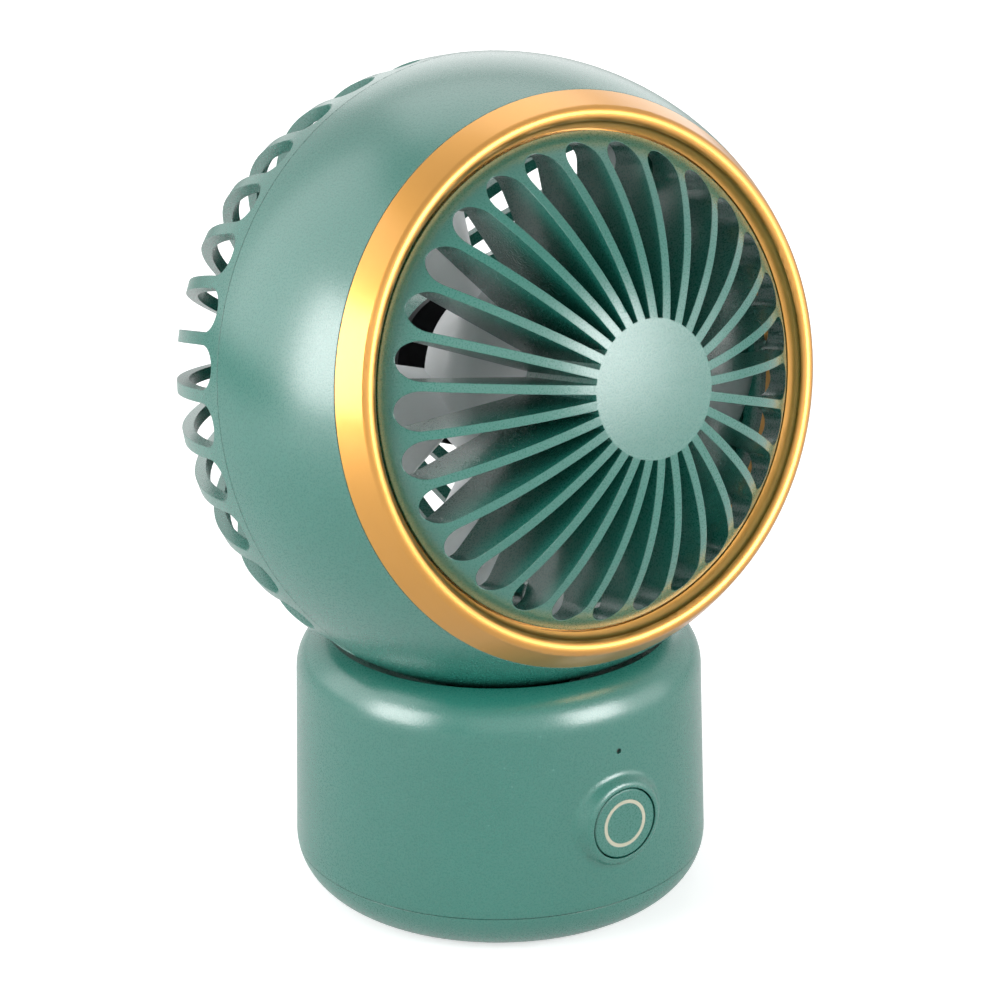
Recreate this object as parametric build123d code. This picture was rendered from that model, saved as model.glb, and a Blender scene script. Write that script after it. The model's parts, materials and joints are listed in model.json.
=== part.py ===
from build123d import *
from math import acos, atan2, cos, hypot, pi, radians, sin, sqrt
import os

# A rechargeable desk fan: a ball-shaped head that tilts in a dish on top of a round base.
# Millimetres, Z up, the front of the fan looks along -Y.
# The head's pieces are drawn about their own Z axis, which is the fan's axis and points to the
# front, and are then set on the base at the resting tilt.

# Head
head_radius = 57.5
head_sink = 8.9
rest_tilt = 10.0
parting_depth = 1.0
parting_gap = 0.12
head_wall = 2.4

# Trim ring
crest_inset = 11.3
crest_round = 1.6
crest_inner_turn = 150.0
seam_drop = 3.47
seam_gap = 0.15
lip_drop = 1.47
lip_width = 2.6
lip_hollow = 0.4
seat_drop = 5.27
spigot_step = 0.3
ring_fit = 0.15
ring_flange = 1.5
ring_flange_width = 2.0

# Front flange of the head shell, with its lugs and screws
flange_thickness = 2.3
flange_step = 0.6
lug_inset = 2.6
lug_radius = 3.2
lug_hole = 1.3
lug_angle = 27.0
ring_screw_inset = 1.6
ring_screw_angle = 45.0
ring_screw_reach = 3.6

# Front grille
grille_gap = 0.4
grille_rim_width = 1.8
grille_rim_height = 2.45
dome_radius = 57.5
rib_count = 29
rib_thickness = 1.6
hub_radius = 12.0
hub_crown = 0.37
hub_wall = 1.6
hub_face = 2.4
clip_ribs = (0, 7, 15, 22)
clip_width = 5.0
clip_thickness = 1.4
clip_barb = 0.35
clip_barb_height = 1.2
clip_slack = 0.1

# Rear grille
rear_slot_count = 36
rear_rib_width = 2.2
rear_wall = 2.2
rear_slot_start = 1.2
rear_hub_radius = 18.0
rear_lip_thickness = 1.5
rear_lip_height = 3.0
rear_lip_fit = 0.15
pad_slots = 3
pad_length = 37.5

# Motor and its cup in the rear grille
motor_radius = 12.2
motor_front = -12.0
motor_length = 28.0
motor_wall = 0.6
motor_cap = 4.0
motor_fit = 0.3
cup_wall = 2.0
cup_floor = 2.0
cup_wire_hole = 4.0
stalk_radius = 8.0
shaft_radius = 1.0
shaft_running_fit = 0.03
bushing_radius = 3.0
bushing_length = 3.0
bearing_boss_radius = 4.5
bearing_boss_height = 2.6
magnet_thickness = 2.8
magnet_arc = 140.0
rotor_air_gap = 0.5
rotor_length = 15.0
rotor_poles = 3
rotor_slot_width = 1.6
rotor_slot_depth = 4.5
commutator_radius = 2.6
commutator_length = 3.0
end_wall = 0.3
shaft_setback = 0.6

# Motor retainer and its screws
retainer_thickness = 1.6
retainer_ear_circle = 17.2
retainer_ear_radius = 2.8
retainer_fit = 0.2
ear_length = 12.0

# Impeller
blade_count = 5
blade_turn = 115.0
blade_tip_gap = 6.1
blade_thickness = 1.6
blade_root_chord = 12.0
blade_tip_chord = 43.0
blade_root_pitch = 42.0
blade_tip_pitch = 26.0
blade_camber = 2.2
blade_mid_depth = 4.0
impeller_hub_radius = 16.5
impeller_hub_wall = 1.6
impeller_hub_front = 12.0
impeller_hub_round = 4.0
impeller_boss_radius = 3.2
impeller_rear_gap = 11.2

# Small screws, all alike
screw_radius = 1.0
screw_head_radius = 1.9
screw_head_height = 1.2
screw_hole_fit = 0.05
screw_pass_fit = 0.2

# Tilt stud, friction shoe, spring washer and nut
dish_gap = 0.9
dish_wall = 2.5
stud_radius = 4.0
stud_bore = 2.4
stud_flange_radius = 7.0
stud_flange = 2.0
stud_boss_radius = 8.5
stud_boss_rise = 2.3
stud_fit = 0.1
stud_slot_fit = 0.35
stud_tail = 1.0
stud_room = 6.35
shoe_radius = 9.0
shoe_thickness = 1.6
shoe_gap = 0.25
washer_radius = 7.5
washer_thickness = 0.6
washer_height = 1.2
nut_width = 13.0
nut_height = 4.0
tilt_down = 10.0
tilt_up = 15.0
tilt_slot_margin = 1.0

# Base
base_taper = 0.0292
base_shoulder = 8.0
base_wall = 2.4
base_bottom = 0.5
base_lower_round = 9.8
base_seam = 8.9
base_seam_gap = 0.12
cover_lip_thickness = 1.4
cover_lip_height = 3.0
cover_fit = 0.15
cover_floor = 2.2
post_inset = 13.3
post_radius = 2.8
post_angle = 45.0
post_end = 4.0
post_screw_depth = 8.0
post_head_depth = 1.4

# Rubber pad and ballast
pad_radius = 21.0
pad_recess = 0.7
ballast_radius = 17.0
ballast_thickness = 3.0

# Power button, its collar, mark and switch
button_height = 25.0
button_radius = 6.55
button_gap = 0.25
button_travel = 0.6
button_thickness = 5.1
button_edge = 0.2
collar_rise = 1.5
collar_rim = 0.8
collar_flare = 3.6
collar_depth = 5.0
collar_round = 1.3
collar_root = 1.5
inner_collar_radius = 9.6
button_flange_radius = 7.8
button_flange = 1.2
button_slack = 0.1
mark_radius = 4.2
mark_width = 0.65
mark_depth = 0.3
plunger_radius = 1.7
plunger_reach = 1.6
plunger_fit = 0.15
switch_size = 6.0
switch_thickness = 3.5
switch_well = 2.0

# Boards, charging socket, pilot light and cell
board_thickness = 1.6
switch_board_width = 18.0
switch_board_bottom = 13.5
switch_board_top = 42.0
board_post_radius = 2.2
board_post_offset = 6.5
board_post_low = 16.8
board_post_high = 33.6
board_screw_reach = 2.4
light_height = 38.4
light_hole_radius = 0.5
light_hole_depth = 4.8
light_pipe_fit = 0.05
light_recess = 0.5
led_size = 1.6
led_height = 1.1
socket_width = 8.9
socket_height = 3.2
socket_length = 7.4
socket_fit = 0.35
socket_wall = 0.4
socket_tongue = 0.7
charge_board_height = 12.0
charge_board_width = 22.0
charge_board_depth = 21.0
charge_board_inset = 5.8
charge_post_x = 8.0
charge_post_inset = 5.5
cell_radius = 9.2
cell_length = 65.0
cell_clearance = 0.4
cell_end_room = 5.063
cradle_offset = 28.0
cradle_thickness = 3.0
cradle_fit = 0.1
cradle_width = 22.0

# Sizes that follow from those above
head_inner = head_radius - head_wall
crest_radius = head_radius - crest_inset
crest_depth = sqrt((head_radius - crest_round) ** 2 - crest_radius**2)
seam_depth = crest_depth - seam_drop
ring_lip_depth = crest_depth - lip_drop
ring_lip_radius = crest_radius - lip_width
ring_seat_depth = crest_depth - seat_drop
ring_back = ring_seat_depth + ring_flange
ring_flange_bore = ring_lip_radius - ring_flange_width
ring_spigot_radius = crest_radius + spigot_step
ring_screw_circle = crest_radius - ring_screw_inset
flange_bore = ring_flange_bore + flange_step
lug_circle = flange_bore - lug_inset
grille_rim_radius = ring_lip_radius - grille_gap
slot_end_radius = grille_rim_radius - grille_rim_width
rim_front = ring_back + grille_rim_height
dome_centre = rim_front - sqrt(dome_radius**2 - grille_rim_radius**2)
hub_edge = dome_centre + sqrt(dome_radius**2 - hub_radius**2)
hub_front = hub_edge + hub_crown
blade_tip_radius = head_inner - blade_tip_gap
motor_back = motor_front - motor_length
cup_radius = motor_radius + motor_fit
dish_radius = head_radius + dish_gap
dish_under = dish_radius + dish_wall
stud_boss_face = head_radius - rear_wall - stud_boss_rise
shoe_face = dish_under + shoe_gap
shoe_back = shoe_face + shoe_thickness
nut_face = shoe_back + washer_height
stud_end = nut_face + nut_height + stud_tail
base_radius = hypot(cell_length / 2, cell_radius) + cell_end_room
round_centre = base_bottom + base_lower_round
floor_top = base_bottom + cover_floor
ballast_top = floor_top + ballast_thickness
cell_axis = ballast_top + cell_clearance + cell_radius
head_height = cell_axis + cell_radius + stud_room + stud_end
base_top = head_height - head_radius + head_sink
post_circle = base_radius - post_inset
charge_board_back = base_radius - charge_board_inset
charge_board_front = charge_board_back - charge_board_depth
charge_post_y = charge_board_back - charge_post_inset
head_place = Location(
    Plane(
        origin=(0, 0, head_height),
        x_dir=(1, 0, 0),
        z_dir=(0, -cos(radians(rest_tilt)), sin(radians(rest_tilt))),
    )
)


def ball_r(radius, height, centre=0.0):
    """Distance from the axis of a point on a ball, at a height."""
    return sqrt(radius**2 - (height - centre) ** 2)


def ball_z(radius, distance, centre=0.0):
    """Height of a ball's upper half at a distance from the axis."""
    return centre + sqrt(radius**2 - distance**2)


def ball_arc(radius, start, end, centre=0.0):
    """Middle and end of the arc on a ball's section between two heights."""
    middle = (acos((start - centre) / radius) + acos((end - centre) / radius)) / 2
    return (
        (radius * sin(middle), centre + radius * cos(middle)),
        (ball_r(radius, end, centre), end),
    )


def section(start, *steps):
    """A closed face; each step is a corner, or the middle and end of an arc."""
    edges = []
    here = start
    for step in steps:
        if isinstance(step[0], tuple):
            edges.append(ThreePointArc(here, step[0], step[1]))
            here = step[1]
        else:
            edges.append(Line(here, step))
            here = step
    edges.append(Line(here, start))
    return make_face(edges)


def turned(start, *steps):
    """A section in the plane of the axis, turned about Z."""
    return revolve(Plane.XZ * section(start, *steps), Axis.Z)


def rod(radius, bottom, top, x=0.0, y=0.0):
    """An upright cylinder between two heights."""
    return Pos(x, y, bottom) * Cylinder(radius, top - bottom, align=(Align.CENTER, Align.CENTER, Align.MIN))


def pipe(outer, inner, bottom, top, x=0.0, y=0.0):
    """An upright tube between two heights."""
    return rod(outer, bottom, top, x, y) - rod(inner, bottom, top, x, y)


def block(x_range, y_range, z_range):
    """A box between limits on each axis."""
    middle = [(low + high) / 2 for low, high in (x_range, y_range, z_range)]
    size = [high - low for low, high in (x_range, y_range, z_range)]
    return Pos(*middle) * Box(*size)


def along_y(radius, start, end, x=0.0, z=0.0):
    """A cylinder that runs along Y between two places."""
    disc = Plane(origin=(x, start, z), x_dir=(1, 0, 0), z_dir=(0, 1, 0)) * Circle(radius)
    return extrude(disc, end - start)


def around(shape, count, first=0.0):
    """Copies of a shape, evenly spaced about Z."""
    return [Rot(0, 0, first + 360 / count * turn) * shape for turn in range(count)]


def polar(distance, angle):
    """X and Y of a point at a distance and an angle about Z."""
    return distance * cos(radians(angle)), distance * sin(radians(angle))


def four_angles(spread):
    """Four directions, a spread to either side of the top and the bottom."""
    return 90 - spread, 90 + spread, 270 - spread, 270 + spread


def four_corners(distance, spread):
    """Points at a distance from the axis in those four directions."""
    return [polar(distance, angle) for angle in four_angles(spread)]


def screw(head_top, tip, x, y, up=True):
    """A pan-head screw along Z; its head is at one end."""
    sign = 1 if up else -1
    shoulder = head_top - sign * screw_head_height
    head = rod(screw_head_radius, min(head_top, shoulder), max(head_top, shoulder), x, y)
    shank = rod(screw_radius, min(shoulder, tip), max(shoulder, tip), x, y)
    return head + shank


def wall_radius(height):
    """Radius of the base's drafted side wall."""
    return base_radius - base_taper * (height - round_centre)


def make_head_shell():
    """Front half of the ball, with the inner flange that carries the trim ring."""
    flange_back = ring_seat_depth - flange_thickness
    opening = ring_spigot_radius + ring_fit
    parting = parting_depth + parting_gap
    shell = turned(
        (ball_r(head_radius, parting), parting),
        ball_arc(head_radius, parting, seam_depth),
        (opening, seam_depth),
        (opening, ring_seat_depth),
        (flange_bore, ring_seat_depth),
        (flange_bore, flange_back),
        (ball_r(head_inner, flange_back), flange_back),
        ball_arc(head_inner, flange_back, parting),
    )
    web_end = flange_bore + lug_hole
    for angle in four_angles(lug_angle):
        web = block((lug_circle, web_end), (-lug_radius, lug_radius), (flange_back, ring_seat_depth))
        lug = rod(lug_radius, flange_back, ring_seat_depth, lug_circle)
        bore = rod(lug_hole, flange_back, ring_seat_depth, lug_circle)
        shell += Rot(0, 0, angle) * (web + lug)
        shell -= Rot(0, 0, angle) * bore
    for x, y in four_corners(ring_screw_circle, ring_screw_angle):
        shell -= rod(screw_radius + screw_pass_fit, flange_back, ring_seat_depth, x, y)
    return shell


def make_trim_ring():
    """Plated ring: a band flush with the ball, a rolled crest and a hollow inner slope."""
    seam = seam_depth + seam_gap
    reach = head_radius / (head_radius - crest_round)
    outer_touch = (crest_radius * reach, crest_depth * reach)
    turn = radians(crest_inner_turn)
    inner_touch = (crest_radius + crest_round * cos(turn), crest_depth + crest_round * sin(turn))
    lip = (ring_lip_radius, ring_lip_depth)
    run = (lip[0] - inner_touch[0], lip[1] - inner_touch[1])
    scale = lip_hollow / hypot(*run)
    middle = ((inner_touch[0] + lip[0]) / 2, (inner_touch[1] + lip[1]) / 2)
    hollow = (middle[0] - run[1] * scale, middle[1] + run[0] * scale)
    ring = turned(
        (ball_r(head_radius, seam), seam),
        ball_arc(head_radius, seam, outer_touch[1]),
        ((crest_radius, crest_depth + crest_round), inner_touch),
        (hollow, lip),
        (ring_lip_radius, ring_back),
        (ring_flange_bore, ring_back),
        (ring_flange_bore, ring_seat_depth),
        (ring_spigot_radius, ring_seat_depth),
        (ring_spigot_radius, seam),
    )
    for x, y in four_corners(ring_screw_circle, ring_screw_angle):
        ring -= rod(screw_radius + screw_hole_fit, ring_seat_depth, ring_seat_depth + ring_screw_reach, x, y)
    return ring


def make_ring_screws():
    """Four screws from inside the head, through the flange into the ring."""
    flange_back = ring_seat_depth - flange_thickness
    head_end = flange_back - screw_head_height
    tip = ring_seat_depth + ring_screw_reach
    places = four_corners(ring_screw_circle, ring_screw_angle)
    return [screw(head_end, tip, x, y, up=False) for x, y in places]


def grille_slot():
    """One slot between two ribs: straight sides along the ribs and a full round end at the rim."""
    half_turn = pi / rib_count
    half_rib = rib_thickness / 2
    centre = (slot_end_radius + half_rib) / (1 + sin(half_turn))
    end_round = slot_end_radius - centre
    touch_x = centre - end_round * sin(half_turn)
    touch_y = end_round * cos(half_turn)
    inner_y = hub_radius * sin(half_turn) - half_rib
    return section(
        (hub_radius, -inner_y),
        (touch_x, -touch_y),
        ((slot_end_radius, 0), (touch_x, touch_y)),
        (hub_radius, inner_y),
    )


def make_front_grille():
    """Domed grille: deep plate ribs from a plain hub to a rim that drops into the trim ring."""
    hub_back = hub_edge - hub_face
    crown_x = hub_radius / 2
    crown_z = hub_front - hub_crown / 4
    hub_bore = hub_radius - hub_wall
    dome = turned(
        (grille_rim_radius, ring_back),
        (grille_rim_radius, rim_front),
        ball_arc(dome_radius, rim_front, hub_edge, dome_centre),
        ((crown_x, crown_z), (0, hub_front)),
        (0, hub_back),
        (hub_bore, hub_back),
        (hub_bore, ring_back),
    )
    cutter = extrude(Pos(0, 0, ring_back) * grille_slot(), hub_front - ring_back)
    grille = dome - around(cutter, rib_count, 270 + 180 / rib_count)
    barb_top = ring_seat_depth - clip_slack
    barb_bottom = barb_top - clip_barb_height
    outer = ring_flange_bore - clip_slack
    inner = outer - clip_thickness
    barb_reach = ring_flange_bore + clip_barb
    half = clip_width / 2
    for index in clip_ribs:
        leg = block((inner, outer), (-half, half), (barb_bottom, ring_back))
        catch = block((inner, barb_reach), (-half, half), (barb_bottom, barb_top))
        grille += Rot(0, 0, 270 + 360 / rib_count * index) * (leg + catch)
    return grille


def make_rear_grille():
    """Rear half of the ball: slotted all round, with the motor's cup and the pad for the tilt stud."""
    inner = head_radius - rear_wall
    lip_outer = ball_r(head_inner, parting_depth + rear_lip_height) - rear_lip_fit
    lip_inner = lip_outer - rear_lip_thickness
    shell = turned(
        (0, -head_radius),
        ball_arc(head_radius, -head_radius, 0),
        ball_arc(head_radius, 0, parting_depth),
        (lip_outer, parting_depth),
        (lip_outer, parting_depth + rear_lip_height),
        (lip_inner, parting_depth + rear_lip_height),
        (lip_inner, parting_depth),
        (ball_r(inner, -rear_slot_start), -rear_slot_start),
        ball_arc(inner, -rear_slot_start, -inner),
    )
    half_turn = pi / rear_slot_count
    half_rib = rear_rib_width / 2
    reach = head_radius + rear_wall
    meeting = half_rib / sin(half_turn)
    end_round = reach * sin(half_turn) - half_rib
    end_centre = -rear_slot_start - (head_radius * sin(half_turn) - half_rib)
    hub_half = rear_hub_radius * sin(half_turn) - half_rib
    wedge = section(
        (rear_hub_radius, -hub_half),
        (reach, -end_round),
        (reach, end_round),
        (rear_hub_radius, hub_half),
    )
    cone = Cone(0, end_round, reach - meeting, align=(Align.CENTER, Align.CENTER, Align.MIN))
    round_end = Plane(origin=(meeting, 0, end_centre), x_dir=(0, 1, 0), z_dir=(1, 0, 0)) * cone
    full_slot = extrude(Pos(0, 0, end_centre) * wedge, -head_radius) + round_end
    short_slot = extrude(Pos(0, 0, -rear_slot_start - pad_length) * wedge, -head_radius)
    cutters = []
    for turn in range(rear_slot_count):
        angle = 270 + 360 / rear_slot_count * (turn - pad_slots // 2)
        cutters.append(Rot(0, 0, angle) * (short_slot if turn < pad_slots else full_slot))
    shell = Rot(0, 0, 180 / rear_slot_count) * shell
    grille = shell - cutters
    cup_outer = cup_radius + cup_wall
    cup = pipe(cup_outer, cup_radius, motor_back - cup_floor, motor_front)
    cup += pipe(cup_outer, cup_wire_hole, motor_back - cup_floor, motor_back)
    stalk_end = -ball_z(inner, stalk_radius) - rear_wall / 2
    cup += pipe(stalk_radius, cup_wire_hole, stalk_end, motor_back - cup_floor)
    ear_back = motor_front - ear_length
    for x in (-retainer_ear_circle, retainer_ear_circle):
        ear = rod(retainer_ear_radius, ear_back, motor_front, x)
        web_limits = sorted((x, x / abs(x) * cup_radius))
        web = block(web_limits, (-screw_head_radius, screw_head_radius), (ear_back, motor_front))
        cup += (ear + web) - rod(cup_radius, ear_back, motor_front)
        cup -= rod(screw_radius + screw_hole_fit, motor_front - ear_length / 2, motor_front, x)
    grille = head_place * (grille + cup)
    boss = rod(stud_boss_radius, head_height - head_radius + rear_wall / 2, head_height - stud_boss_face)
    hole = rod(stud_radius + stud_fit, head_height - head_radius, head_height - stud_boss_face)
    return grille + boss - hole


def make_motor_can():
    """Drawn steel can of the motor, with its bearing boss."""
    inner = motor_radius - motor_wall
    can = turned(
        (bushing_radius, motor_front + bearing_boss_height),
        (bearing_boss_radius, motor_front + bearing_boss_height),
        (bearing_boss_radius, motor_front),
        (motor_radius, motor_front),
        (motor_radius, motor_back + motor_cap),
        (inner, motor_back + motor_cap),
        (inner, motor_front - motor_wall),
        (bushing_radius, motor_front - motor_wall),
    )
    return can


def make_motor_endcap():
    """Plastic end cap of the motor, with the rear bushing's seat."""
    plug = motor_radius - motor_wall
    cap = rod(motor_radius, motor_back, motor_back + motor_cap)
    cap += rod(plug, motor_back + motor_cap, motor_back + motor_cap + motor_wall)
    seat_bottom = motor_back + motor_cap + motor_wall - bushing_length
    cap -= rod(bushing_radius, seat_bottom, motor_back + motor_cap + motor_wall)
    cap -= rod(shaft_radius + screw_pass_fit, motor_back + end_wall, seat_bottom)
    return cap


def make_motor_bushings():
    """Two sintered bushings that carry the shaft."""
    bore = shaft_radius + shaft_running_fit
    front_top = motor_front + bearing_boss_height
    rear_top = motor_back + motor_cap + motor_wall
    return [
        pipe(bushing_radius, bore, front_top - bushing_length, front_top),
        pipe(bushing_radius, bore, rear_top - bushing_length, rear_top),
    ]


def make_motor_magnets():
    """Two curved magnets on the can's wall."""
    outer = motor_radius - motor_wall
    inner = outer - magnet_thickness
    middle = (motor_front + motor_back + motor_cap) / 2
    ring = pipe(outer, inner, middle - rotor_length / 2, middle + rotor_length / 2)
    gap = 2 * outer * sin(radians(180 - magnet_arc) / 2)
    slit = block((-motor_radius, motor_radius), (-gap / 2, gap / 2), (motor_back, motor_front))
    return (ring - slit).solids()


def make_rotor_core():
    """Slotted core of the motor's rotor."""
    radius = motor_radius - motor_wall - magnet_thickness - rotor_air_gap
    middle = (motor_front + motor_back + motor_cap) / 2
    low = middle - rotor_length / 2
    high = middle + rotor_length / 2
    core = pipe(radius, shaft_radius, low, high)
    mouth = block(
        (radius - rotor_slot_depth, radius + rotor_air_gap),
        (-rotor_slot_width / 2, rotor_slot_width / 2),
        (low, high),
    )
    return core - around(mouth, rotor_poles)


def make_commutator():
    """Commutator on the shaft, behind the core."""
    middle = (motor_front + motor_back + motor_cap) / 2
    top = middle - rotor_length / 2
    return pipe(commutator_radius, shaft_radius, top - commutator_length, top)


def make_motor_shaft():
    """Steel shaft from the end cap to the front of the impeller's boss."""
    return rod(shaft_radius, motor_back + shaft_setback, impeller_hub_front - impeller_hub_wall)


def make_motor_retainer():
    """Plate that holds the motor in its cup."""
    back = motor_front
    front = motor_front + retainer_thickness
    plate = pipe(cup_radius + cup_wall, bearing_boss_radius + retainer_fit, back, front)
    for x in (-retainer_ear_circle, retainer_ear_circle):
        plate += rod(retainer_ear_radius, back, front, x)
        web_limits = sorted((x, x / abs(x) * cup_radius))
        plate += block(web_limits, (-screw_head_radius, screw_head_radius), (back, front))
    for x in (-retainer_ear_circle, retainer_ear_circle):
        plate -= rod(screw_radius + screw_pass_fit, back, front, x)
    return plate


def make_retainer_screws():
    """Two screws through the retainer's ears."""
    top = motor_front + retainer_thickness + screw_head_height
    tip = motor_front - ear_length / 2
    return [screw(top, tip, x, 0) for x in (-retainer_ear_circle, retainer_ear_circle)]


def blade_section(distance, chord, pitch):
    """Cambered section of a blade, square to a line from the axis."""
    angle = radians(pitch)
    forward = (cos(angle), sin(angle))
    up = (-sin(angle), cos(angle))

    def place(along, across):
        return (
            along * forward[0] + across * up[0],
            blade_mid_depth + along * forward[1] + across * up[1],
        )

    half = chord / 2
    low = -blade_thickness / 2
    high = blade_thickness / 2
    face = section(
        place(-half, low),
        (place(0, low + blade_camber), place(half, low)),
        place(half, high),
        (place(0, high + blade_camber), place(-half, high)),
    )
    return Plane(origin=(distance, 0, 0), x_dir=(0, 1, 0), z_dir=(1, 0, 0)) * face


def make_impeller():
    """Axial impeller: a rounded hub cap on the shaft and wide twisted blades."""
    rear = motor_front + retainer_thickness + screw_head_height + impeller_rear_gap
    inner = impeller_hub_radius - impeller_hub_wall
    shoulder = impeller_hub_front - impeller_hub_round
    bend = impeller_hub_round * (1 - cos(pi / 4))
    hub = turned(
        (inner, rear),
        (impeller_hub_radius, rear),
        (impeller_hub_radius, shoulder),
        (
            (impeller_hub_radius - bend, impeller_hub_front - bend),
            (impeller_hub_radius - impeller_hub_round, impeller_hub_front),
        ),
        (0, impeller_hub_front),
        (0, impeller_hub_front - impeller_hub_wall),
        (shaft_radius, impeller_hub_front - impeller_hub_wall),
        (shaft_radius, rear),
        (impeller_boss_radius, rear),
        (impeller_boss_radius, impeller_hub_front - impeller_hub_wall),
        (inner - impeller_hub_round, impeller_hub_front - impeller_hub_wall),
        (inner, shoulder),
    )
    root = impeller_hub_radius - impeller_hub_wall
    blade = loft(
        [
            blade_section(root, blade_root_chord, blade_root_pitch),
            blade_section(blade_tip_radius, blade_tip_chord, blade_tip_pitch),
        ]
    )
    blade &= pipe(blade_tip_radius, root + impeller_hub_wall / 2, -head_radius, head_radius)
    return hub + around(blade, blade_count, blade_turn)


def make_tilt_stud():
    """Hollow stud through the head's pad; the wires to the motor run inside it."""
    face = head_height - stud_boss_face
    stud = rod(stud_flange_radius, face, face + stud_flange)
    stud += rod(stud_radius, head_height - stud_end, face)
    return stud - rod(stud_bore, head_height - stud_end, face + stud_flange)


def make_tilt_shoe():
    """Friction shoe that bears on the underside of the dish."""
    hole = stud_radius + stud_fit
    middle = (hole + shoe_radius) / 2
    return turned(
        (hole, head_height - shoe_back),
        (shoe_radius, head_height - shoe_back),
        (shoe_radius, head_height - ball_z(shoe_face, shoe_radius)),
        (
            (middle, head_height - ball_z(shoe_face, middle)),
            (hole, head_height - ball_z(shoe_face, hole)),
        ),
    )


def make_tilt_washer():
    """Cone spring washer between the shoe and the nut."""
    hole = stud_radius + stud_fit
    top = head_height - shoe_back
    bottom = head_height - nut_face
    return turned(
        (hole, bottom),
        (washer_radius, top - washer_thickness),
        (washer_radius, top),
        (hole, bottom + washer_thickness),
    )


def make_tilt_nut():
    """Hexagon nut that sets the tilt's friction."""
    hexagon = RegularPolygon(nut_width / 2, 6, major_radius=False)
    nut = extrude(Pos(0, 0, head_height - nut_face - nut_height) * hexagon, nut_height)
    return nut - rod(stud_radius, head_height - nut_face - nut_height, head_height - nut_face)


def stud_sweep(fit):
    """The space that the stud passes through as the head tilts."""
    axis = Axis((0, 0, head_height), (1, 0, 0))
    width = 2 * (stud_radius + fit)
    depth = 2 * dish_wall + dish_gap
    plate = Plane.XZ * Pos(0, head_height - (dish_radius + dish_under) / 2) * Rectangle(width, depth)
    sweep = revolve(plate, axis, tilt_down + tilt_up + 2 * tilt_slot_margin)
    sweep = sweep.rotate(axis, -(tilt_up + tilt_slot_margin))
    start = head_height - (dish_radius + dish_under) / 2 - depth / 2
    end = rod(stud_radius + fit, start, start + depth)
    low_end = end.rotate(axis, tilt_down + tilt_slot_margin)
    high_end = end.rotate(axis, -(tilt_up + tilt_slot_margin))
    return [sweep, low_end, high_end]


def shoulder_to_ball(centre, bend, ball):
    """Middle and end of the shoulder's arc, up to where it meets a ball about the head's centre."""
    radius, height = centre
    rise = head_height - height
    apart = hypot(radius, rise)
    along = (apart**2 + bend**2 - ball**2) / (2 * apart)
    turn = atan2(rise, -radius) - acos(along / bend)
    return (
        (radius + bend * cos(turn / 2), height + bend * sin(turn / 2)),
        (radius + bend * cos(turn), height + bend * sin(turn)),
    )


def make_base_shell():
    """Drafted drum with a rounded shoulder, the head's dish on top and a collar for the button."""
    shoulder = base_top - base_shoulder
    shoulder_radius = wall_radius(shoulder)
    shoulder_centre = (shoulder_radius - base_shoulder, shoulder)
    outer_arc = shoulder_to_ball(shoulder_centre, base_shoulder, dish_radius)
    inner_arc = shoulder_to_ball(shoulder_centre, base_shoulder - base_wall, dish_under)
    low = head_height - dish_radius
    under = head_height - dish_under
    seam = base_seam + base_seam_gap
    knee = acos((round_centre - seam) / base_lower_round)
    knee_middle = (knee + pi / 2) / 2
    drum_centre = base_radius - base_lower_round
    seam_radius = drum_centre + base_lower_round * sin(knee)
    shell = turned(
        (seam_radius, seam),
        (
            (
                drum_centre + base_lower_round * sin(knee_middle),
                round_centre - base_lower_round * cos(knee_middle),
            ),
            (base_radius, round_centre),
        ),
        (shoulder_radius, shoulder),
        outer_arc,
        ball_arc(dish_radius, outer_arc[1][1], low, head_height),
        (0, under),
        ball_arc(dish_under, under, inner_arc[1][1], head_height),
        (inner_arc[0], (shoulder_radius - base_wall, shoulder)),
        (base_radius - base_wall, round_centre),
        (base_radius - base_wall, seam),
    )
    post_top = head_height - ball_z(dish_under, post_circle) + base_wall / 2
    for x, y in four_corners(post_circle, post_angle):
        shell += rod(post_radius, post_end, post_top, x, y)
    for x, y in four_corners(post_circle, post_angle):
        shell -= rod(screw_radius + screw_hole_fit, post_end, post_end + post_screw_depth, x, y)
    button_wall = wall_radius(button_height)
    face = button_wall + collar_rise
    rim = button_radius + button_gap + collar_rim
    flare = Plane(origin=(0, -face, button_height), x_dir=(1, 0, 0), z_dir=(0, 1, 0))
    collar = loft([flare * Circle(rim), flare.offset(collar_depth) * Circle(rim + collar_flare)])
    back = button_face_back()
    inner_collar = along_y(inner_collar_radius, -button_wall + base_wall / 2, back, 0, button_height)
    shell += collar
    shell = fillet(collar_edges(shell, GeomType.BSPLINE), collar_root)
    shell = fillet(collar_edges(shell, GeomType.CIRCLE), collar_round)
    shell += inner_collar
    shell -= along_y(button_radius + button_gap, -face, back, 0, button_height)
    shell -= along_y(light_hole_radius, -base_radius, -base_radius + light_hole_depth, 0, light_height)
    post_back = switch_board_face()
    for x in (-board_post_offset, board_post_offset):
        for z in (board_post_low, board_post_high):
            start = -sqrt(wall_radius(z) ** 2 - (abs(x) + board_post_radius) ** 2) + base_wall / 2
            shell += along_y(board_post_radius, start, post_back, x, z)
            shell -= along_y(screw_radius + screw_hole_fit, start + base_wall, post_back, x, z)
    bottom = charge_board_height + board_thickness - socket_fit
    top = bottom + socket_height + 2 * socket_fit
    half = socket_width / 2 + socket_fit
    mouth = RectangleRounded(2 * half, top - bottom, (top - bottom) / 2 - socket_fit / 2)
    mouth_plane = Plane(origin=(0, 0, (bottom + top) / 2), x_dir=(1, 0, 0), z_dir=(0, 1, 0))
    shell -= extrude(mouth_plane * mouth, base_radius)
    return shell - stud_sweep(stud_slot_fit)


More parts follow.
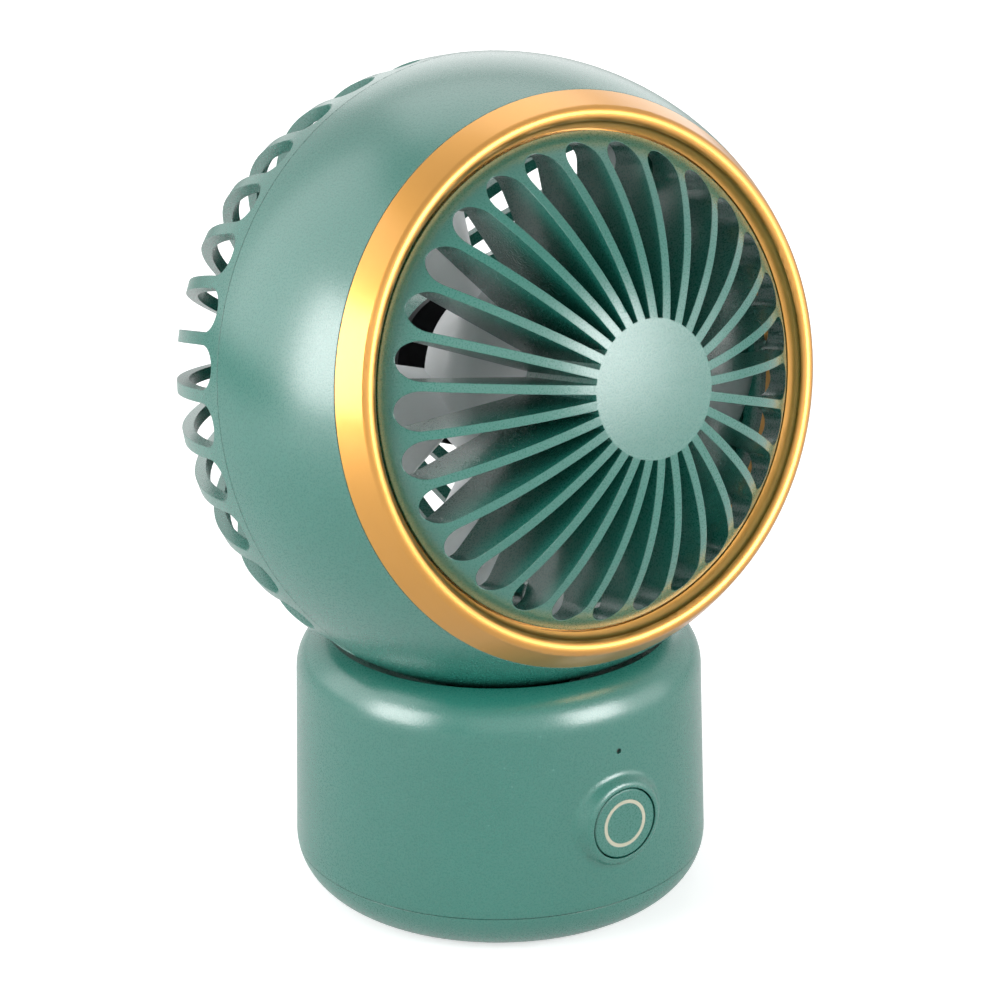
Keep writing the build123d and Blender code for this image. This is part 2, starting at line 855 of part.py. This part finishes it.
def collar_edges(shell, kind):
    """Edges of one kind around the button's collar, on the outside of the base."""
    wall = wall_radius(button_height)
    edges = shell.edges().filter_by(kind)
    edges = edges.filter_by_position(Axis.Y, -2 * wall, base_wall - wall)
    return edges.filter_by_position(Axis.Z, button_height - button_radius, button_height + button_radius)


def button_face():
    """Y of the button's front face."""
    return -(wall_radius(button_height) + collar_rise)


def button_face_back():
    """Y of the collar's inner end, where the button's flange stops."""
    return button_face() + button_thickness


def switch_board_face():
    """Y of the switch board's front face."""
    flange_back = button_face_back() + button_slack + button_flange
    return flange_back + plunger_reach - button_travel + switch_thickness - plunger_fit


def make_base_cover():
    """Bottom cover: a dish with a rounded edge, screw bosses, board posts and the cell's cradle."""
    centre = base_radius - base_lower_round
    knee = acos((round_centre - base_seam) / base_lower_round)
    seam_radius = centre + base_lower_round * sin(knee)
    inner_round = base_lower_round - cover_floor
    inner_centre = base_radius - base_wall - cover_fit - cover_lip_thickness - inner_round
    lip_outer = base_radius - base_wall - cover_fit
    lip_inner = lip_outer - cover_lip_thickness
    lip_top = base_seam + cover_lip_height
    bend = inner_round * cos(pi / 4)
    cover = turned(
        (0, base_bottom),
        (centre, base_bottom),
        (
            (centre + base_lower_round * sin(knee / 2), round_centre - base_lower_round * cos(knee / 2)),
            (seam_radius, base_seam),
        ),
        (lip_outer, base_seam),
        (lip_outer, lip_top),
        (lip_inner, lip_top),
        (lip_inner, floor_top + inner_round),
        ((inner_centre + bend, floor_top + inner_round - bend), (inner_centre, floor_top)),
        (0, floor_top),
    )
    for x, y in four_corners(post_circle, post_angle):
        cover += rod(post_radius, base_bottom, post_end, x, y)
    for x, y in four_corners(post_circle, post_angle):
        cover -= rod(screw_head_radius + screw_pass_fit, base_bottom, base_bottom + post_head_depth, x, y)
        cover -= rod(screw_radius + screw_pass_fit, base_bottom, post_end, x, y)
    cover -= rod(pad_radius, base_bottom, base_bottom + pad_recess)
    for x in (-charge_post_x, charge_post_x):
        cover += rod(board_post_radius, floor_top - cover_floor / 2, charge_board_height, x, charge_post_y)
        cover -= rod(screw_radius + screw_hole_fit, floor_top, charge_board_height, x, charge_post_y)
    half = cradle_width / 2
    cell = make_cell(cell_radius + cradle_fit)
    for x in (-cradle_offset, cradle_offset):
        limits = (x - cradle_thickness / 2, x + cradle_thickness / 2)
        cover += block(limits, (-half, half), (floor_top - cover_floor / 2, cell_axis)) - cell
    return cover


def make_base_screws():
    """Four screws up through the cover into the shell's posts."""
    head_end = base_bottom + post_head_depth - screw_head_height
    tip = post_end + post_screw_depth
    places = four_corners(post_circle, post_angle)
    return [screw(head_end, tip, x, y, up=False) for x, y in places]


def make_rubber_pad():
    """Round rubber pad in a shallow recess of the cover; the fan stands on it."""
    return rod(pad_radius, 0, base_bottom + pad_recess)


def make_ballast():
    """Steel plate on the cover's floor that keeps the fan upright."""
    return rod(ballast_radius, floor_top, ballast_top)


def make_cell(radius):
    """Round rechargeable cell, lying across the base."""
    disc = Plane(origin=(-cell_length / 2, 0, cell_axis), x_dir=(0, 1, 0), z_dir=(1, 0, 0)) * Circle(radius)
    return extrude(disc, cell_length)


def make_power_button():
    """Push button: a round cap, with a groove for its mark and a flange that keeps it in."""
    face = button_face()
    back = button_face_back() + button_slack
    cap = along_y(button_radius, face, back, 0, button_height)
    cap = chamfer(cap.edges().sort_by(Axis.Y)[0], button_edge)
    cap += along_y(button_flange_radius, back, back + button_flange, 0, button_height)
    groove = along_y(mark_radius + mark_width / 2, face, face + mark_depth, 0, button_height)
    groove -= along_y(mark_radius - mark_width / 2, face, face + mark_depth, 0, button_height)
    return cap - groove


def make_button_mark():
    """Pale ring let into the button's face."""
    face = button_face()
    ring = along_y(mark_radius + mark_width / 2, face, face + mark_depth, 0, button_height)
    return ring - along_y(mark_radius - mark_width / 2, face, face + mark_depth, 0, button_height)


def make_switch_plunger():
    """Plunger of the push switch; it moves with the button."""
    start = button_face_back() + button_slack + button_flange
    return along_y(plunger_radius, start, start + plunger_reach, 0, button_height)


def make_push_switch():
    """Body of the push switch on its board."""
    back = switch_board_face()
    half = switch_size / 2
    front = back - switch_thickness
    body = block((-half, half), (front, back), (button_height - half, button_height + half))
    return body - along_y(plunger_radius + plunger_fit, front, front + switch_well, 0, button_height)


def make_switch_board():
    """Upright circuit board behind the button."""
    face = switch_board_face()
    half = switch_board_width / 2
    board = block((-half, half), (face, face + board_thickness), (switch_board_bottom, switch_board_top))
    for x in (-board_post_offset, board_post_offset):
        for z in (board_post_low, board_post_high):
            board -= along_y(screw_radius + screw_pass_fit, face, face + board_thickness, x, z)
    return board


def make_pilot_led():
    """Small light on the switch board."""
    face = switch_board_face()
    half = led_size / 2
    return block((-half, half), (face - led_height, face), (light_height - half, light_height + half))


def make_light_pipe():
    """Thin rod that brings the pilot light to the front."""
    start = -wall_radius(light_height) + light_recess
    end = switch_board_face() - led_height
    return along_y(light_hole_radius - light_pipe_fit, start, end, 0, light_height)


def make_charge_board():
    """Level circuit board at the back that carries the charging socket."""
    half = charge_board_width / 2
    top = charge_board_height + board_thickness
    board = block((-half, half), (charge_board_front, charge_board_back), (charge_board_height, top))
    for x in (-charge_post_x, charge_post_x):
        board -= rod(screw_radius + screw_pass_fit, charge_board_height, top, x, charge_post_y)
    return board


def make_charge_socket():
    """Flat oval charging socket with its tongue."""
    bottom = charge_board_height + board_thickness
    front = wall_radius(bottom) - base_wall / 2
    middle = bottom + socket_height / 2
    plane = Plane(origin=(0, front, middle), x_dir=(1, 0, 0), z_dir=(0, -1, 0))
    outer = RectangleRounded(socket_width, socket_height, socket_height / 2 - socket_wall / 4)
    inner_width = socket_width - 2 * socket_wall
    inner_height = socket_height - 2 * socket_wall
    inner = RectangleRounded(inner_width, inner_height, inner_height / 2 - socket_wall / 4)
    shell = extrude(plane * outer, socket_length)
    shell -= extrude(plane * inner, socket_length - socket_wall)
    tongue_half = inner_width / 2 - 2 * socket_tongue
    tongue = block(
        (-tongue_half, tongue_half),
        (front - socket_length + socket_wall / 2, front - socket_tongue),
        (middle - socket_tongue / 2, middle + socket_tongue / 2),
    )
    return shell + tongue


def make_board_screws():
    """Six screws that hold the two circuit boards."""
    screws = []
    back = switch_board_face() + board_thickness
    for x in (-board_post_offset, board_post_offset):
        for z in (board_post_low, board_post_high):
            head = along_y(screw_head_radius, back, back + screw_head_height, x, z)
            shank = along_y(screw_radius, back - board_thickness - board_screw_reach, back, x, z)
            screws.append(head + shank)
    top = charge_board_height + board_thickness + screw_head_height
    for x in (-charge_post_x, charge_post_x):
        screws.append(screw(top, floor_top + screw_head_height, x, charge_post_y))
    return screws


def on_head(shapes):
    """Set a piece, or several, that were drawn about the fan's axis on the tilted head."""
    if isinstance(shapes, list):
        return [head_place * shape for shape in shapes]
    return head_place * shapes


pieces = {
    "head_shell": on_head(make_head_shell()),
    "trim_ring": on_head(make_trim_ring()),
    "ring_screws": on_head(make_ring_screws()),
    "front_grille": on_head(make_front_grille()),
    "rear_grille": make_rear_grille(),
    "motor_can": on_head(make_motor_can()),
    "motor_endcap": on_head(make_motor_endcap()),
    "motor_bushings": on_head(make_motor_bushings()),
    "motor_magnets": on_head(make_motor_magnets()),
    "motor_retainer": on_head(make_motor_retainer()),
    "retainer_screws": on_head(make_retainer_screws()),
    "motor_shaft": on_head(make_motor_shaft()),
    "rotor_core": on_head(make_rotor_core()),
    "commutator": on_head(make_commutator()),
    "impeller": on_head(make_impeller()),
    "tilt_stud": make_tilt_stud(),
    "tilt_shoe": make_tilt_shoe(),
    "tilt_washer": make_tilt_washer(),
    "tilt_nut": make_tilt_nut(),
    "base_shell": make_base_shell(),
    "base_cover": make_base_cover(),
    "base_screws": make_base_screws(),
    "rubber_pad": make_rubber_pad(),
    "ballast_plate": make_ballast(),
    "battery_cell": make_cell(cell_radius),
    "power_button": make_power_button(),
    "button_mark": make_button_mark(),
    "switch_plunger": make_switch_plunger(),
    "push_switch": make_push_switch(),
    "switch_board": make_switch_board(),
    "pilot_led": make_pilot_led(),
    "light_pipe": make_light_pipe(),
    "charge_board": make_charge_board(),
    "charge_socket": make_charge_socket(),
    "board_screws": make_board_screws(),
}

os.makedirs("parts", exist_ok=True)
for name, shape in pieces.items():
    items = shape if isinstance(shape, list) else [shape]
    solids = [solid for item in items for solid in item.solids()]
    piece = solids[0] if len(solids) == 1 else Compound(children=solids)
    export_step(piece, os.path.join("parts", name + ".step"))
    print(name, len(solids), round(sum(solid.volume for solid in solids), 1))
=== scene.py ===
import json
import math

import bpy
from mathutils import Matrix, Vector

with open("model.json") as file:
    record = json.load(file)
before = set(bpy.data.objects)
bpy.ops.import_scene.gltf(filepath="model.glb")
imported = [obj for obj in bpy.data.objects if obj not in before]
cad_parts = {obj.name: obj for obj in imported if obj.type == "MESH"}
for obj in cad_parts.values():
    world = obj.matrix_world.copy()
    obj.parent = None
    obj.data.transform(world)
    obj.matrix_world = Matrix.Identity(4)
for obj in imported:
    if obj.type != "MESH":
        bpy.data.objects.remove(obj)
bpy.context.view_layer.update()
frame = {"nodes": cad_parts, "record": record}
nodes = frame["nodes"]
scene = bpy.context.scene
scene.view_settings.view_transform = "Standard"

MM = 0.001

# Camera, fitted to the photograph
CAMERA_TARGET = Vector((0.0, 0.0, 0.080))
CAMERA_DISTANCE = 0.530244
CAMERA_AZIMUTH = math.radians(-33.95)
CAMERA_ELEVATION = math.radians(18.889)
CAMERA_ROLL = math.radians(-0.61)
CAMERA_LENS = 103.98
CAMERA_SENSOR = 36.0
CAMERA_SHIFT = (0.00331, -0.02611)
CAMERA_NEAR = 0.01
CAMERA_FAR = 20.0

# Tone drift, dust and grain of the finishes; noise scales are in waves per metre
NOISE_LOW = 0.3
NOISE_HIGH = 0.7
DUST_SCALE = 900.0
DUST_LOW = 0.80
DUST_HIGH = 0.86
PLASTIC_DRIFT_SCALE = 38.0
PLASTIC_DRIFT_DETAIL = 3.0
PLASTIC_GRAIN_DETAIL = 1.5
PLASTIC_GRAIN_ROUGHNESS = 0.5
PLASTIC_ROUGHNESS_SPREAD = 0.02
PLASTIC_BUMP = 0.35
PLASTIC_COAT_ROUGHNESS = 0.22
METAL_DRIFT_SCALE = 60.0
METAL_DRIFT_DETAIL = 4.0
METAL_GRAIN_DETAIL = 3.0
METAL_GRAIN_ROUGHNESS = 0.65
METAL_ROUGHNESS_SPREAD = 0.05
METAL_BUMP = 0.3
METAL_COAT_ROUGHNESS = 0.2

# World: its level as a light, and its level in reflections of what is before the object
WORLD_FILL = 0.18
WORLD_FRONT = 0.75
WORLD_FRONT_START = -0.1
WORLD_FRONT_END = 0.6

# Floor: its glow grows with the distance from the object, and reflections get a share of it
FLOOR_HALF = 6.0
FLOOR_GREY = 0.8
FLOOR_NEAR_GLOW = 0.50
FLOOR_FAR_GLOW = 1.0
FLOOR_GLOW_START = 0.2
FLOOR_GLOW_END = 0.9
FLOOR_MIRROR_SHARE = 0.2

# Lamps: name, degrees right of the camera, degrees up, distance, width and height in metres, watts
LAMPS = (
    ("key_left", -54, 4, 0.75, 0.42, 0.44, 4.6),
    ("lamp_left", -78, 30, 0.75, 0.74, 0.80, 2.8),
    ("key_right", 51, 4, 0.75, 0.40, 0.40, 4.6),
    ("lamp_right", 84, 6, 0.75, 0.45, 0.45, 0.9),
    ("lamp_front", 12, 0, 0.90, 1.00, 0.70, 1.8),
    ("lamp_top", 180, 78, 0.80, 0.60, 0.45, 1.1),
    ("lamp_back", 176, 40, 0.80, 0.70, 0.40, 0.7),
)

camera_back = Vector(
    (
        math.sin(CAMERA_AZIMUTH) * math.cos(CAMERA_ELEVATION),
        -math.cos(CAMERA_AZIMUTH) * math.cos(CAMERA_ELEVATION),
        math.sin(CAMERA_ELEVATION),
    )
)
level_right = Vector((math.cos(CAMERA_AZIMUTH), math.sin(CAMERA_AZIMUTH), 0.0))
level_up = camera_back.cross(level_right)
camera_right = level_right * math.cos(CAMERA_ROLL) + level_up * math.sin(CAMERA_ROLL)
camera_up = camera_back.cross(camera_right)


def make_camera():
    """The camera at the photograph's angle."""
    data = bpy.data.cameras.new("camera")
    data.sensor_width = CAMERA_SENSOR
    data.lens = CAMERA_LENS
    data.shift_x, data.shift_y = CAMERA_SHIFT
    data.clip_start = CAMERA_NEAR
    data.clip_end = CAMERA_FAR
    camera = bpy.data.objects.new("camera", data)
    turn = Matrix((camera_right, camera_up, camera_back)).transposed().to_4x4()
    camera.matrix_world = Matrix.Translation(CAMERA_TARGET + camera_back * CAMERA_DISTANCE) @ turn
    scene.collection.objects.link(camera)
    scene.camera = camera


def opaque(colour):
    """The colour with full alpha, as a node's socket takes it."""
    return (*colour, 1.0)


class Nodes:
    """Short calls for building a node tree; a value is a number, a colour or another node's output."""

    def __init__(self, tree):
        self.tree = tree
        tree.nodes.clear()

    def add(self, kind, **values):
        node = self.tree.nodes.new(kind)
        for key, value in values.items():
            setattr(node, key, value)
        return node

    def link(self, source, target):
        self.tree.links.new(source, target)

    def put(self, value, socket):
        if isinstance(value, bpy.types.NodeSocket):
            self.link(value, socket)
        else:
            socket.default_value = value

    def math(self, operation, first, second):
        node = self.add("ShaderNodeMath", operation=operation)
        self.put(first, node.inputs[0])
        self.put(second, node.inputs[1])
        return node.outputs[0]

    def noise(self, position, scale, detail, roughness=0.5):
        node = self.add("ShaderNodeTexNoise")
        node.inputs["Scale"].default_value = scale
        node.inputs["Detail"].default_value = detail
        node.inputs["Roughness"].default_value = roughness
        self.link(position, node.inputs["Vector"])
        return node.outputs["Fac"]

    def ramp(self, value, low, high, low_out=0.0, high_out=1.0):
        node = self.add("ShaderNodeMapRange", clamp=True)
        node.inputs["From Min"].default_value = low
        node.inputs["From Max"].default_value = high
        node.inputs["To Min"].default_value = low_out
        node.inputs["To Max"].default_value = high_out
        self.link(value, node.inputs["Value"])
        return node.outputs["Result"]

    def mix_colours(self, share, first, second):
        node = self.add("ShaderNodeMix", data_type="RGBA")
        self.link(share, node.inputs[0])
        self.put(first, node.inputs[6])
        self.put(second, node.inputs[7])
        return node.outputs[2]

    def mix_numbers(self, share, first, second):
        node = self.add("ShaderNodeMix", data_type="FLOAT")
        self.link(share, node.inputs[0])
        self.put(first, node.inputs[2])
        self.put(second, node.inputs[3])
        return node.outputs[0]

    def bump(self, height, strength, distance):
        node = self.add("ShaderNodeBump")
        node.inputs["Strength"].default_value = strength
        node.inputs["Distance"].default_value = distance
        self.link(height, node.inputs["Height"])
        return node

    def soft_edge(self, radius):
        node = self.add("ShaderNodeBevel", samples=4)
        node.inputs["Radius"].default_value = radius
        return node.outputs["Normal"]

    def position(self):
        return self.add("ShaderNodeTexCoord").outputs["Object"]


def new_material(name):
    """An empty material with a Principled shader on its output."""
    material = bpy.data.materials.new(name)
    material.use_nodes = True
    kit = Nodes(material.node_tree)
    shader = kit.add("ShaderNodeBsdfPrincipled")
    output = kit.add("ShaderNodeOutputMaterial")
    kit.link(shader.outputs["BSDF"], output.inputs["Surface"])
    return material, kit, shader


def plastic(
    name,
    colour,
    shade,
    roughness,
    grain_size,
    grain_depth,
    specular=0.5,
    dust=None,
    edge=0.0,
    gloss=0.0,
    glow_depth=0.0,
):
    """Moulded plastic: tone drift, fine grain, specks of dust, rounded edges, light let through."""
    material, kit, shader = new_material(name)
    position = kit.position()
    drift = kit.noise(position, PLASTIC_DRIFT_SCALE, PLASTIC_DRIFT_DETAIL)
    tone = kit.mix_colours(kit.ramp(drift, NOISE_LOW, NOISE_HIGH), opaque(colour), opaque(shade))
    if dust is not None:
        speck = kit.ramp(kit.noise(position, DUST_SCALE, 1.0), DUST_LOW, DUST_HIGH)
        tone = kit.mix_colours(speck, tone, opaque(dust))
    kit.link(tone, shader.inputs["Base Color"])
    grain = kit.noise(position, 1.0 / grain_size, PLASTIC_GRAIN_DETAIL, PLASTIC_GRAIN_ROUGHNESS)
    smoothest = roughness - PLASTIC_ROUGHNESS_SPREAD
    roughest = roughness + PLASTIC_ROUGHNESS_SPREAD
    kit.link(kit.ramp(grain, NOISE_LOW, NOISE_HIGH, smoothest, roughest), shader.inputs["Roughness"])
    bump = kit.bump(grain, PLASTIC_BUMP, grain_depth)
    if edge:
        kit.link(kit.soft_edge(edge), bump.inputs["Normal"])
    kit.link(bump.outputs["Normal"], shader.inputs["Normal"])
    shader.inputs["Specular IOR Level"].default_value = specular
    shader.inputs["Coat Weight"].default_value = gloss
    shader.inputs["Coat Roughness"].default_value = PLASTIC_COAT_ROUGHNESS
    if glow_depth:
        shader.inputs["Subsurface Weight"].default_value = 1.0
        shader.inputs["Subsurface Radius"].default_value = (1.0, 1.0, 1.0)
        shader.inputs["Subsurface Scale"].default_value = glow_depth
    return material


def metal(name, colour, shade, roughness, grain_size, grain_depth, lacquer=0.0):
    """Plated metal: tone drift, fine satin grain and a lacquer where it has one."""
    material, kit, shader = new_material(name)
    position = kit.position()
    drift = kit.noise(position, METAL_DRIFT_SCALE, METAL_DRIFT_DETAIL)
    tone = kit.mix_colours(kit.ramp(drift, NOISE_LOW, NOISE_HIGH), opaque(colour), opaque(shade))
    kit.link(tone, shader.inputs["Base Color"])
    grain = kit.noise(position, 1.0 / grain_size, METAL_GRAIN_DETAIL, METAL_GRAIN_ROUGHNESS)
    smoothest = roughness - METAL_ROUGHNESS_SPREAD
    roughest = roughness + METAL_ROUGHNESS_SPREAD
    kit.link(kit.ramp(grain, NOISE_LOW, NOISE_HIGH, smoothest, roughest), shader.inputs["Roughness"])
    kit.link(kit.bump(grain, METAL_BUMP, grain_depth).outputs["Normal"], shader.inputs["Normal"])
    shader.inputs["Metallic"].default_value = 1.0
    shader.inputs["Coat Weight"].default_value = lacquer
    shader.inputs["Coat Roughness"].default_value = METAL_COAT_ROUGHNESS
    return material


def make_finishes():
    """One material for each slot of the record."""
    return {
        "green_plastic": plastic(
            "green_plastic",
            colour=(0.010, 0.125, 0.094),
            shade=(0.012, 0.134, 0.102),
            roughness=0.28,
            grain_size=0.32 * MM,
            grain_depth=0.08 * MM,
            specular=0.9,
            dust=(0.08, 0.24, 0.20),
            edge=0.3 * MM,
            gloss=0.3,
        ),
        "gold_trim": metal(
            "gold_trim",
            colour=(0.55, 0.265, 0.050),
            shade=(0.59, 0.29, 0.060),
            roughness=0.40,
            grain_size=0.14 * MM,
            grain_depth=0.012 * MM,
            lacquer=0.7,
        ),
        "white_plastic": plastic(
            "white_plastic",
            colour=(0.88, 0.90, 0.92),
            shade=(0.90, 0.91, 0.93),
            roughness=0.35,
            grain_size=0.5 * MM,
            grain_depth=0.02 * MM,
            glow_depth=4 * MM,
        ),
        "cream_print": plastic(
            "cream_print",
            colour=(0.40, 0.38, 0.29),
            shade=(0.44, 0.42, 0.32),
            roughness=0.5,
            grain_size=0.2 * MM,
            grain_depth=0.01 * MM,
        ),
        "plated_steel": metal(
            "plated_steel",
            colour=(0.50, 0.51, 0.52),
            shade=(0.58, 0.58, 0.58),
            roughness=0.32,
            grain_size=0.3 * MM,
            grain_depth=0.02 * MM,
        ),
        "bronze": metal(
            "bronze",
            colour=(0.58, 0.36, 0.15),
            shade=(0.64, 0.42, 0.2),
            roughness=0.35,
            grain_size=0.25 * MM,
            grain_depth=0.02 * MM,
        ),
        "dark_ferrite": plastic(
            "dark_ferrite",
            colour=(0.05, 0.05, 0.053),
            shade=(0.065, 0.065, 0.07),
            roughness=0.6,
            grain_size=0.3 * MM,
            grain_depth=0.03 * MM,
        ),
        "black_plastic": plastic(
            "black_plastic",
            colour=(0.018, 0.018, 0.019),
            shade=(0.026, 0.026, 0.027),
            roughness=0.45,
            grain_size=0.35 * MM,
            grain_depth=0.03 * MM,
        ),
        "black_rubber": plastic(
            "black_rubber",
            colour=(0.02, 0.02, 0.02),
            shade=(0.03, 0.03, 0.03),
            roughness=0.8,
            grain_size=0.4 * MM,
            grain_depth=0.05 * MM,
            specular=0.3,
        ),
        "cell_wrap": plastic(
            "cell_wrap",
            colour=(0.05, 0.16, 0.36),
            shade=(0.06, 0.18, 0.40),
            roughness=0.25,
            grain_size=1.5 * MM,
            grain_depth=0.02 * MM,
        ),
        "board_green": plastic(
            "board_green",
            colour=(0.016, 0.14, 0.055),
            shade=(0.022, 0.17, 0.07),
            roughness=0.35,
            grain_size=0.8 * MM,
            grain_depth=0.02 * MM,
        ),
        "smoke_clear": plastic(
            "smoke_clear",
            colour=(0.02, 0.022, 0.02),
            shade=(0.03, 0.032, 0.03),
            roughness=0.12,
            grain_size=0.6 * MM,
            grain_depth=0.01 * MM,
        ),
    }


def dress_nodes():
    """Gives each node its slot's material, and the retainer behind the blades a near-black one that is
    painted shade for the dark cavity there.
    """
    finishes = make_finishes()
    for subpart in frame["record"]["subparts"]:
        node = nodes[subpart["node"]]
        node.data.materials.clear()
        node.data.materials.append(finishes[subpart["material_slot"]])
    # Painted shade: the retainer's near-black colour stands in for the deep shade between the blades
    # and the shell.
    nodes["motor_retainer"].data.materials[0] = metal(
        "painted_shade_steel",
        colour=(0.012, 0.012, 0.013),
        shade=(0.018, 0.018, 0.019),
        roughness=0.42,
        grain_size=0.3 * MM,
        grain_depth=0.02 * MM,
    )


def ray_kinds(kit):
    """Outputs that are 1 for rays from the camera, and for rays of a reflection or through glass."""
    path = kit.add("ShaderNodeLightPath")
    mirrored = kit.math("MAXIMUM", path.outputs["Is Glossy Ray"], path.outputs["Is Transmission Ray"])
    return path.outputs["Is Camera Ray"], mirrored


def make_world():
    """White to the eye and in reflections, a little dimmer there before the object, grey as a light."""
    world = bpy.data.worlds.new("studio")
    scene.world = world
    world.use_nodes = True
    kit = Nodes(world.node_tree)
    background = kit.add("ShaderNodeBackground")
    background.inputs["Color"].default_value = (1.0, 1.0, 1.0, 1.0)
    output = kit.add("ShaderNodeOutputWorld")
    seen, mirrored = ray_kinds(kit)
    toward_front = kit.add("ShaderNodeVectorMath", operation="DOT_PRODUCT")
    kit.link(kit.add("ShaderNodeTexCoord").outputs["Generated"], toward_front.inputs[0])
    toward_front.inputs[1].default_value = camera_back
    front = toward_front.outputs["Value"]
    mirror_level = kit.ramp(front, WORLD_FRONT_START, WORLD_FRONT_END, 1.0, WORLD_FRONT)
    unseen_level = kit.mix_numbers(mirrored, WORLD_FILL, mirror_level)
    kit.link(kit.mix_numbers(seen, unseen_level, 1.0), background.inputs["Strength"])
    kit.link(background.outputs["Background"], output.inputs["Surface"])


def make_floor():
    """A white floor that keeps the object's soft shadow."""
    mesh = bpy.data.meshes.new("floor")
    corners = [
        (-FLOOR_HALF, -FLOOR_HALF, 0),
        (FLOOR_HALF, -FLOOR_HALF, 0),
        (FLOOR_HALF, FLOOR_HALF, 0),
        (-FLOOR_HALF, FLOOR_HALF, 0),
    ]
    mesh.from_pydata(corners, [], [(0, 1, 2, 3)])
    floor = bpy.data.objects.new("floor", mesh)
    scene.collection.objects.link(floor)
    material = bpy.data.materials.new("floor_white")
    material.use_nodes = True
    kit = Nodes(material.node_tree)
    diffuse = kit.add("ShaderNodeBsdfDiffuse")
    diffuse.inputs["Color"].default_value = (FLOOR_GREY, FLOOR_GREY, FLOOR_GREY, 1.0)
    light = kit.add("ShaderNodeEmission")
    reach = kit.add("ShaderNodeVectorMath", operation="LENGTH")
    kit.link(kit.position(), reach.inputs[0])
    away = reach.outputs["Value"]
    glow = kit.ramp(away, FLOOR_GLOW_START, FLOOR_GLOW_END, FLOOR_NEAR_GLOW, FLOOR_FAR_GLOW)
    seen, mirrored = ray_kinds(kit)
    share = kit.math("MAXIMUM", kit.math("MULTIPLY", mirrored, FLOOR_MIRROR_SHARE), seen)
    kit.link(kit.math("MULTIPLY", share, glow), light.inputs["Strength"])
    both = kit.add("ShaderNodeAddShader")
    kit.link(diffuse.outputs["BSDF"], both.inputs[0])
    kit.link(light.outputs["Emission"], both.inputs[1])
    output = kit.add("ShaderNodeOutputMaterial")
    kit.link(both.outputs["Shader"], output.inputs["Surface"])
    mesh.materials.append(material)


def make_lamp(name, right_turn, rise, distance, width, height, power):
    """A soft rectangular lamp that points at the camera's target and isn't seen itself."""
    data = bpy.data.lights.new(name, "AREA")
    data.shape = "RECTANGLE"
    data.size = width
    data.size_y = height
    data.energy = power
    lamp = bpy.data.objects.new(name, data)
    turn = math.radians(right_turn)
    lift = math.radians(rise)
    level = camera_right * math.sin(turn) + camera_back * math.cos(turn)
    way = level * math.cos(lift) + camera_up * math.sin(lift)
    lamp.location = CAMERA_TARGET + way * distance
    lamp.rotation_mode = "QUATERNION"
    lamp.rotation_quaternion = (-way).to_track_quat("-Z", "Y")
    lamp.visible_camera = False
    scene.collection.objects.link(lamp)


make_camera()
dress_nodes()
make_world()
make_floor()
for lamp in LAMPS:
    make_lamp(*lamp)
